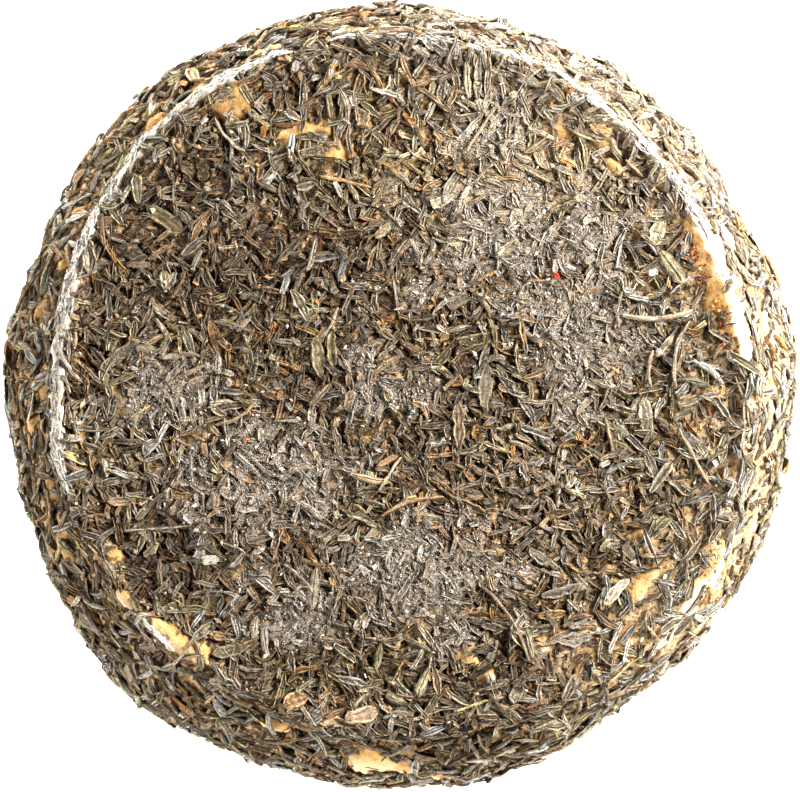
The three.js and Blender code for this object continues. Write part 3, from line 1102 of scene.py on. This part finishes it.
# Single bits that stand out: place (x, y), size in mm, colour in linear light. Each is a
# cluster of slivers.
BIT_PARTS = 5
BITS = [
    (24.6, 17.8, 1.3, (0.62, 0.05, 0.03)), (43.9, 23.8, 1.2, (0.22, 0.05, 0.035)),
    (28.8, -42.5, 2, (0.03, 0.026, 0.025)), (25.6, -41.2, 1, (0.05, 0.04, 0.035)),
    # The near-black bit at (10.2, -53.6) is painted shadow, put where the crust has a dark hole.
    (10.2, -53.6, 2.4, (0.012, 0.008, 0.005)), (-37.4, 19.6, 1.4, (0.02, 0.014, 0.012)),
    (-24, -8, 1.2, (0.5, 0.2, 0.06)), (7.5, -9.5, 1.1, (0.55, 0.22, 0.06)),
    (-13, 13.5, 1.1, (0.5, 0.14, 0.05)), (33.5, 2.5, 1.2, (0.55, 0.24, 0.07)),
]


def lay_bits():
    draw = seeded(61)
    x, y, size, colours = zip(*(bit for bit in BITS for _ in range(BIT_PARTS)))
    number, size = len(x), np.array(size)
    places = np.stack([x, y], axis=-1) + (centre_x, centre_y)
    places = places + draw.normal(0, 0.22, (number, 2)) * size[:, None]
    heading = any_heading(draw, number)
    size = size * draw.uniform(0.4, 0.75, number)
    vertices = slivers(places, heading, size, size * 0.8, size * 0.6, draw)
    tint = np.clip(np.array(colours) * draw.uniform(0.6, 1.4, (number, 1)), 0, 0.9)
    sliver_piece("single_bits", vertices, spots(places)[2], tint, 0)


def lay_flecks():
    draw = seeded(60)
    places = []
    for degrees, along, half_round, half_along, number in FLECKS:
        turn = radians(degrees) + draw.normal(0, 0.6, number) * half_round / LIP_RADIUS
        places.append(on_disc(turn, along + draw.normal(0, 0.6, number) * half_along))
    places = np.concatenate(places)
    number = len(places)
    length = draw.uniform(0.3, 0.8, number)
    heading = any_heading(draw, number)
    vertices = slivers(places, heading, length, length * 0.7, length * 0.5, draw)
    tint = FLECK_COLOURS[draw.integers(0, len(FLECK_COLOURS), number)]
    sliver_piece("orange_flecks", vertices, spots(places)[2], tint, 0)


def grain_weight(*spot):
    return np.clip(0.01 + 0.99 * grey_at(spot[-1]) ** 1.5 + 0.3 * lip_bloom(*spot), 0, 1)


def lay_grains(count):
    """Grains of mould on the grey zones and along the lip."""
    draw = seeded(77)
    places, points = scatter(draw, count, 0, top_length + 6, grain_weight)
    number = len(places)
    length = draw.uniform(0.1, 0.26, number)
    heading = any_heading(draw, number)
    vertices = slivers(places, heading, length, length * 0.8, length * 0.8, draw)
    tint = draw.uniform(0.18, 0.68, (number, 1)) * np.array((1.0, 0.95, 0.88))
    sliver_piece("mould_grains", vertices, points, tint, 0.3)


# Materials


class Nodes:
    """A short way to write a material's node tree."""

    def __init__(self, name):
        self.material = bpy.data.materials.new(name)
        self.material.use_nodes = True
        self.tree = self.material.node_tree
        self.place = self.add("TexCoord", "Object", {})

    def feed(self, node, values):
        """Gives inputs of a node, by name or number, a value or the output of another node."""
        for key, value in values.items():
            socket = node.inputs[key]
            if isinstance(value, bpy.types.NodeSocket):
                self.tree.links.new(value, socket)
            else:
                socket.default_value = (*value, 1) if socket.type == "RGBA" else value

    def add(self, kind, output, values, **settings):
        """An output of a new node."""
        node = self.tree.nodes.new("ShaderNode" + kind)
        for key, value in settings.items():
            setattr(node, key, value)
        self.feed(node, values)
        return node.outputs[output]

    def noise(self, grain_mm, detail=3.0, roughness=0.55):
        values = {"Scale": 1 / (grain_mm * MM), "Detail": detail, "Roughness": roughness}
        return self.add("TexNoise", "Fac", {"Vector": self.place, **values})

    def fibres(self, width_mm, stretch):
        """Noise in a leaf's own directions, drawn out along its length."""
        scale = (1 / width_mm, 1 / (width_mm * stretch), 1)
        place = self.add("Mapping", "Vector", {"Vector": self.vector("grain"), "Scale": scale})
        return self.add("TexNoise", "Fac", {"Vector": place, "Scale": 1.0, "Detail": 2.0})

    def cells(self, grain_mm):
        values = {"Vector": self.place, "Scale": 1 / (grain_mm * MM)}
        return self.add("TexVoronoi", "Distance", values)

    def amount(self, name):
        return self.add("Attribute", "Fac", {}, attribute_name=name)

    def vector(self, name):
        return self.add("Attribute", "Vector", {}, attribute_name=name)

    def ramp(self, value, low, high, start=0.0, end=1.0):
        values = {"Value": value, "From Min": low, "From Max": high, "To Min": start, "To Max": end}
        return self.add("MapRange", "Result", values, clamp=True)

    def maths(self, operation, first, second):
        return self.add("Math", 0, {0: first, 1: second}, operation=operation)

    def plus(self, first, second):
        return self.maths("ADD", first, second)

    def times(self, first, second):
        return self.maths("MULTIPLY", first, second)

    def mix(self, factor, first, second):
        """A mix of two colours, which are inputs 6 and 7 of the node and output 2."""
        return self.add("Mix", 2, {0: factor, 6: first, 7: second}, data_type="RGBA")

    def scale(self, colour, factor):
        return self.add("VectorMath", "Vector", {0: colour, "Scale": factor}, operation="SCALE")

    def bump(self, height, depth_mm):
        return self.add("Bump", "Normal", {"Height": height, "Distance": depth_mm * MM})

    def shade(self, values):
        """Feeds the shader's inputs, and gives back the finished material."""
        self.feed(self.tree.nodes["Principled BSDF"], values)
        return self.material


def make_leaf_material():
    nodes = Nodes("dried_thyme_leaf")
    mix, ramp, noise, scale, times = nodes.mix, nodes.ramp, nodes.noise, nodes.scale, nodes.times
    fibres = ramp(nodes.fibres(0.13, 6), 0.3, 0.7, 0.35, 1.8)
    speckle = ramp(noise(0.17, 3, 0.8), 0.36, 0.64, 0.4, 1.65)
    streaked = scale(scale(nodes.vector("tint"), fibres), speckle)
    stain = ramp(noise(1.3, 3), 0.55, 0.7, 0, 0.5)
    colour = mix(stain, streaked, scale(streaked, 0.45))
    powder = times(ramp(noise(0.5, 4, 0.8), 0.42, 0.6), nodes.amount("dust"))
    grit = ramp(noise(0.15, 2, 0.8), 0.42, 0.58)
    flour = mix(grit, (0.27, 0.19, 0.115), (0.56, 0.52, 0.475))
    relief = nodes.plus(noise(0.16, 3, 0.6), nodes.fibres(0.14, 6))
    values = {
        "Base Color": mix(times(powder, 0.85), colour, flour),
        "Roughness": ramp(noise(0.5), 0.3, 0.7, 0.65, 0.95),
        "Specular IOR Level": 0.1,
        "Normal": nodes.bump(relief, 0.13),
    }
    return nodes.shade(values)


def make_rind_material():
    nodes = Nodes("soft_cheese_rind")
    mix, ramp, noise, amount = nodes.mix, nodes.ramp, nodes.noise, nodes.amount
    plus, times = nodes.plus, nodes.times
    bare, pale = amount("bare"), amount("paleness")
    broad = noise(6.5, 3)
    fine = noise(0.45, 4, 0.65)
    grit = noise(0.24, 4, 0.8)
    cream = mix(ramp(broad, 0.42, 0.6), (0.66, 0.52, 0.32), (0.7, 0.61, 0.45))
    cream = mix(ramp(plus(pale, fine), 1.4, 1.75), cream, (0.8, 0.75, 0.65))
    amber_share = ramp(noise(1.1, 5, 0.7), 0.4, 0.66)
    amber = mix(amber_share, (0.69, 0.415, 0.155), (0.46, 0.225, 0.065))
    paste = mix(ramp(plus(pale, noise(1.1, 4)), 0.75, 1.35), amber, cream)
    paste = nodes.scale(paste, ramp(pale, -0.5, 0.4, 0.6, 1.15))
    border = mix(ramp(bare, 0.35, 0.75), (0.4, 0.205, 0.06), paste)
    # Under the leaves the rind is a brown stain, and its near-black parts are painted shade in the
    # gaps between the leaves; on honey ground it is tan instead.
    dark = mix(ramp(fine, 0.44, 0.62), (0.007, 0.004, 0.002), (0.12, 0.064, 0.027))
    dark = mix(ramp(noise(1.4, 4), 0.52, 0.58), dark, (0.5, 0.3, 0.13))
    blotch = ramp(noise(1.3, 4, 0.6), 0.42, 0.58)
    light = mix(blotch, (0.45, 0.26, 0.1), (0.6, 0.455, 0.275))
    tan = mix(ramp(fine, 0.38, 0.5), (0.13, 0.065, 0.025), light)
    stain = mix(amount("honey"), dark, tan)
    covered = mix(ramp(bare, 0.1, 0.45), stain, border)
    specks = ramp(nodes.cells(0.8), 0.11, 0.16, 0.8, 0)
    freckles = ramp(noise(0.5, 3, 0.7), 0.64, 0.7, 0, 0.6)
    specks = nodes.maths("MAXIMUM", specks, freckles)
    specked = mix(times(specks, bare), covered, (0.12, 0.06, 0.025))
    crushed = mix(ramp(grit, 0.44, 0.58), (0.03, 0.02, 0.011), (0.47, 0.395, 0.3))
    dusted = mix(times(amount("dust"), 0.9), specked, crushed)
    strands = plus(nodes.fibres(0.22, 9), times(grit, 0.5))
    white = mix(ramp(strands, 0.54, 0.8), (0.36, 0.29, 0.21), (0.66, 0.615, 0.54))
    white = mix(ramp(noise(2.0, 4, 0.65), 0.52, 0.6, 0, 0.75), white, (0.46, 0.3, 0.15))
    values = {
        "Base Color": mix(ramp(amount("bloom"), 0.1, 0.6), dusted, white),
        "Roughness": ramp(broad, 0.35, 0.65, 0.62, 0.85),
        "Specular IOR Level": 0.15,
        "Subsurface Weight": 0.15,
        "Subsurface Radius": (1.0, 0.6, 0.3),
        "Subsurface Scale": 1.2 * MM,
        "Normal": nodes.bump(plus(fine, times(noise(1.6, 3), 1.2)), 0.2),
    }
    return nodes.shade(values)


leaf_material = make_leaf_material()
rind_material = make_rind_material()


# The rind

# Between points of the rind in mm: on the top, on the side under the lip, and lower down
TOP_GRAIN = 0.54
NECK_GRAIN = 0.6
SIDE_GRAIN = 1.2
NECK_REACH = 12.0
SECTORS = 6
BASE_RINGS = 8


def ring_faces(inner, inner_count, outer, outer_count):
    """Triangles between two rings of points, the outer one with as many points or one more
    in each sector."""
    inner_step, outer_step = inner_count // SECTORS, outer_count // SECTORS
    step = np.arange(outer_count)
    below = step // outer_step * inner_step + step % outer_step
    near = [inner + below % inner_count, outer + step, outer + (step + 1) % outer_count]
    step = np.arange(inner_count)
    above = step // inner_step * outer_step + step % inner_step + 1
    far = [inner + step, outer + above % outer_count, inner + (step + 1) % inner_count]
    return np.concatenate([np.stack(near, axis=1), np.stack(far, axis=1)])


def make_rind():
    top_rings = round(top_length / TOP_GRAIN)
    neck = np.arange(top_length + NECK_GRAIN, top_length + NECK_REACH, NECK_GRAIN)
    lower = np.arange(top_length + NECK_REACH, profile_length - 1.2, SIDE_GRAIN)
    alongs = np.concatenate([np.arange(1, top_rings + 1) * top_length / top_rings, neck, lower])
    counts = np.minimum(np.arange(1, len(alongs) + 1), top_rings) * SECTORS
    along = np.repeat(alongs, counts)
    turn = np.concatenate([np.arange(count) * 2 * np.pi / count for count in counts])
    places = on_disc(turn, along)
    points, normal, _, _ = crown_frames(places)
    bloom = lip_bloom(turn, along, points)
    crushed = grey_at(points)
    draw = seeded(40)
    grit = draw.normal(0, 1, len(along)) * (0.03 + 0.08 * crushed + 0.07 * bloom)
    skin = points + normal * (rind_level(turn, along, points) + grit)[:, None]
    skin[:, 2] = np.maximum(skin[:, 2], BASE_GAP * 0.6)
    border = skin[-counts[-1] :]
    rings = [skin]
    for part in np.linspace(1, 0, BASE_RINGS + 2)[1:-1]:
        ring = border * np.array((part, part, 1))
        ring[:, 2] = BASE_GAP + 0.08 * swells(ring, 6, 43)
        rings.append(ring)
    middle_top = surface(np.zeros(1), np.zeros(1)) - np.array((0, 0, COVERED_DEPTH))
    vertices = np.concatenate(rings + [middle_top, [(0, 0, BASE_GAP)]])
    counts = np.concatenate([counts, np.full(BASE_RINGS, counts[-1])])
    starts = np.concatenate([[0], np.cumsum(counts)])
    step = np.arange(SECTORS)
    first = [np.full(SECTORS, starts[-1]), step, (step + 1) % SECTORS]
    faces = [np.stack(first, axis=1)]
    for ring in range(len(counts) - 1):
        faces.append(ring_faces(starts[ring], counts[ring], starts[ring + 1], counts[ring + 1]))
    step = np.arange(counts[-1])
    last = [np.full(counts[-1], starts[-1] + 1), starts[-2] + (step + 1) % counts[-1]]
    faces.append(np.stack(last + [starts[-2] + step], axis=1))
    bare, paleness = bare_and_pale(turn, along, points)
    strand = np.stack([along, turn * LIP_RADIUS, 0 * turn], axis=1)
    layers = {"bare": bare, "paleness": paleness, "bloom": bloom, "dust": crushed}
    layers.update(honey=honey(turn, along, points), grain=strand)
    for key, value in layers.items():
        spare = np.zeros((len(vertices) - len(along), *value.shape[1:]))
        layers[key] = np.concatenate([value, spare])
    all_faces = np.concatenate(faces)
    mesh_piece("rind", vertices, all_faces, rind_material, layers, rounded=True)


# Leaves that stand out in the crust: place of the middle (x, y), heading in degrees, length and
# width, form, kind, and how much brighter than usual its colour is
LARGE_LEAVES = [
    (-13.5, -31.4, 84, 7, 1.9, "upper", "olive", -0.45),
    (-12.8, 4.9, 97, 6.4, 2.1, "open", "olive", -0.05),
    (-10.6, 6.2, 93, 5.6, 1.6, "half", "olive", -0.25),
    (9, -5.9, 91, 7.2, 1.8, "rolled", "brown", 0),
    (13.1, 0.3, 84, 6.6, 2.3, "open", "olive", -0.5),
    (-2.2, 3.6, 33, 5.6, 1.6, "upper", "brown", 0.45),
    (-4.7, -14.2, -12, 6.6, 1.5, "upper", "brown", 0.5),
    (-7.8, -2, 80, 3.6, 1.4, "open", "brown", 0.3),
    (-36.8, 26.5, -36, 6.8, 2.5, "open", "olive", -0.2),
    (-41.2, 31, 96, 4.4, 1.7, "rolled", "olive", 0.3),
    (-44.5, 27, -50, 3.6, 1.3, "rolled", "olive", 0.35),
    (-46, 28.6, -12, 3.2, 1.2, "rolled", "olive", 0.2),
    (-37.5, 21.5, 34, 5, 1.3, "upper", "brown", 0.1),
    (-32.2, 22.3, 38, 5, 1.3, "rolled", "ash", 0.1),
    (-49.2, 19.4, 96, 2.8, 1, "shut", "pale", -0.1),
    (26.8, -38.4, 12, 5.6, 1.9, "open", "pale", 0), (37.6, -4.3, 97, 6.2, 2, "open", "grey", 0.1),
    (42.5, 19, -56, 6.4, 2.3, "upper", "olive", 0.25),
    (40.4, 24.4, 70, 4.2, 2.6, "open", "olive", 0.4),
    (31.4, 40.5, -22, 3.8, 1.7, "open", "straw", 0.2),
    (39.5, -13.5, 55, 5.8, 1.6, "half", "grey", 0.2),
    (45, -8.5, -40, 5.2, 1.9, "open", "ash", -0.2), (12, 48, 88, 6.8, 1.2, "half", "olive", 0),
    (13.6, 48.3, 85, 6.2, 1.1, "rolled", "pale", -0.2),
    (10.4, 47.6, 95, 5.8, 1.1, "shut", "olive", 0.1),
    (-16.4, -49, 20, 4, 2.7, "open", "brown", 0.1),
    (-3.4, -42.2, 78, 4.6, 1.2, "upper", "olive", -0.2),
    (-8.6, -41.5, -40, 4.6, 1.3, "rolled", "olive", 0.2),
    (24.5, -31, 18, 6.2, 1.5, "half", "pale", 0.1),
    (-15.5, 13, -62, 5.6, 1.6, "rolled", "grey", 0.2),
    (-6, -51.4, 15, 5.4, 2.6, "open", "brown", 0.35),
    (3.6, -46.1, 68, 5, 1.5, "upper", "olive", 0.4),
    (5.7, -45.7, 100, 4.6, 1.2, "rolled", "brown", 0.25),
    (-7.4, -46, -14, 4.8, 1.2, "half", "pale", -0.2),
    (-0.6, -48.8, -20, 3.6, 1.4, "upper", "olive", 0.2),
    (-22.6, -37.2, 88, 3.4, 1.5, "upper", "grey", 0.3),
    (-26.8, -41, 10, 5, 1.9, "open", "olive", -0.5),
]

# Stalks that stand out: middle, heading, length, width, bow at the middle, kind, brightness
LONG_STALKS = [
    (40, 11.1, 4, 11.4, 0.85, -1.1, "grey", 0.1), (43, 5.4, 76, 11.2, 0.75, 1.3, "grey", -0.1),
    (38.6, 3, 84, 6, 0.6, 0.5, "brown", -0.1), (11.3, -49.4, 24, 5.6, 0.42, 0.1, "straw", 0.55),
    (33.8, -43.6, 46, 5.4, 0.42, -0.1, "straw", 0.6), (36.2, -42.6, 52, 4, 0.4, 0.1, "straw", 0.5),
    (-1.6, -13.4, 57, 6.6, 0.5, 0, "grey", 0.2),
]


def lay_picked():
    """The leaves and stalks that stand out, on top of the others."""
    draw = seeded(1200)
    for name, rows in (("large_leaves", LARGE_LEAVES), ("long_stalks", LONG_STALKS)):
        count = len(rows)
        x, y, degrees, length, width, form, kinds, tone = zip(*rows)
        places = np.stack([x, y], axis=-1) + (centre_x, centre_y)
        heading = np.pi / 2 - radians(degrees) + turn_and_along(places)[0]
        shape = draw_leaves(draw, count)
        shape.update(length=np.array(length), width=np.array(width), cut=np.ones(count))
        shape["tone"] = np.array(tone, float)
        rescale(shape, roll=0.4)
        if rows is LONG_STALKS:
            make_stalks(shape, thick=shape["width"] * 0.9, bend=np.array(form, float))
            cut_bluntly(shape)
            slot_name = "stem"
        else:
            shape["form"] = indices(SECTIONS, form)
            shape["thick"] = FORM_THICKNESSES[shape["form"]]
            rescale(shape, bend=0.5)
            slot_name = "thyme_leaf"
        kinds = indices(LEAF_KINDS, kinds)
        leaf_piece(name, slot_name, 8, FULL, places, shape, heading, 0.12, kinds, draw)


make_rind()
lay_fragments("low_top", 4200, 0, top_length + 1, seed=303)
lay_fragments("low_side", 3200, top_length, profile_length, seed=304)
lay_leaves("top", 2300, 0, top_length + 1, rings=6, sprigs=15)
lay_leaves("side", 4700, top_length - 0.5, profile_length, rings=SIDE_RINGS, sprigs=50)
lay_strands()
lay_fragments("high_top", 2200, 0, top_length + 1, seed=305)
lay_fragments("high_side", 1500, top_length, profile_length, seed=306)
lay_base(4200)
lay_stalks(55)
lay_picked()
lay_crumbs("crumbs_top", 26000, 0, top_length + 1, seed=5)
lay_crumbs("crumbs_side", 10000, top_length, profile_length, seed=6)
lay_flecks()
lay_bits()
lay_grains(44000)


# Floor, light and camera


def look_at(thing, place, aim):
    thing.location = Vector(place) * MM
    thing.rotation_euler = (Vector(aim) - Vector(place)).to_track_quat("-Z", "Y").to_euler()


def link(name, data):
    thing = bpy.data.objects.new(name, data)
    bpy.context.scene.collection.objects.link(thing)
    return thing


def make_floor():
    half = 2.5
    corners = [(-half, -half, 0), (half, -half, 0), (half, half, 0), (-half, half, 0)]
    nodes = Nodes("pale_floor")
    glow = {"Emission Color": (1, 1, 1), "Emission Strength": 0.75}
    nodes.shade({"Base Color": (0.9, 0.9, 0.9), "Roughness": 0.9, **glow})
    mesh = bpy.data.meshes.new("floor")
    mesh.from_pydata(corners, [], [(0, 1, 2, 3)])
    mesh.materials.append(nodes.material)
    link("floor", mesh)


def add_area_light(name, place, aim, size, watts):
    lamp = bpy.data.lights.new(name, "AREA")
    lamp.shape = "DISK"
    lamp.size = size * MM
    lamp.energy = watts
    look_at(link(name, lamp), place, aim)


CAMERA_DISTANCE = 700.0
CAMERA_TILT = 3.2
PICTURE_WIDTH = 128.0
SENSOR_WIDTH = 36.0
MID_HEIGHT = 27.0


def make_camera():
    camera = bpy.data.cameras.new("camera")
    reach = CAMERA_DISTANCE - MID_HEIGHT
    camera.sensor_width = SENSOR_WIDTH
    camera.lens = SENSOR_WIDTH * reach / PICTURE_WIDTH
    camera.clip_start = 0.01
    tilt = math.radians(CAMERA_TILT)
    place = (0, -reach * math.sin(tilt), MID_HEIGHT + reach * math.cos(tilt))
    holder = link("camera", camera)
    look_at(holder, place, (0, 0, MID_HEIGHT))
    bpy.context.scene.camera = holder


make_floor()
add_area_light("key", (270, 90, 200), (0, 0, 40), 140, 3.9)
add_area_light("upper_edge", (110, 330, 90), (0, 50, 25), 200, 3.2)
add_area_light("lower_edge", (130, -330, 95), (0, -42, 28), 180, 1.25)
add_area_light("left_edge", (-190, 310, 75), (-40, 40, 25), 150, 1.15)
add_area_light("fill", (-330, -100, 165), (0, 0, 30), 170, 1.42)
make_camera()

world = bpy.data.worlds.new("studio")
world.use_nodes = True
background = world.node_tree.nodes["Background"].inputs
background["Color"].default_value = (1, 1, 1, 1)
background["Strength"].default_value = 0.04
bpy.context.scene.world = world
bpy.context.scene.view_settings.view_transform = "Standard"
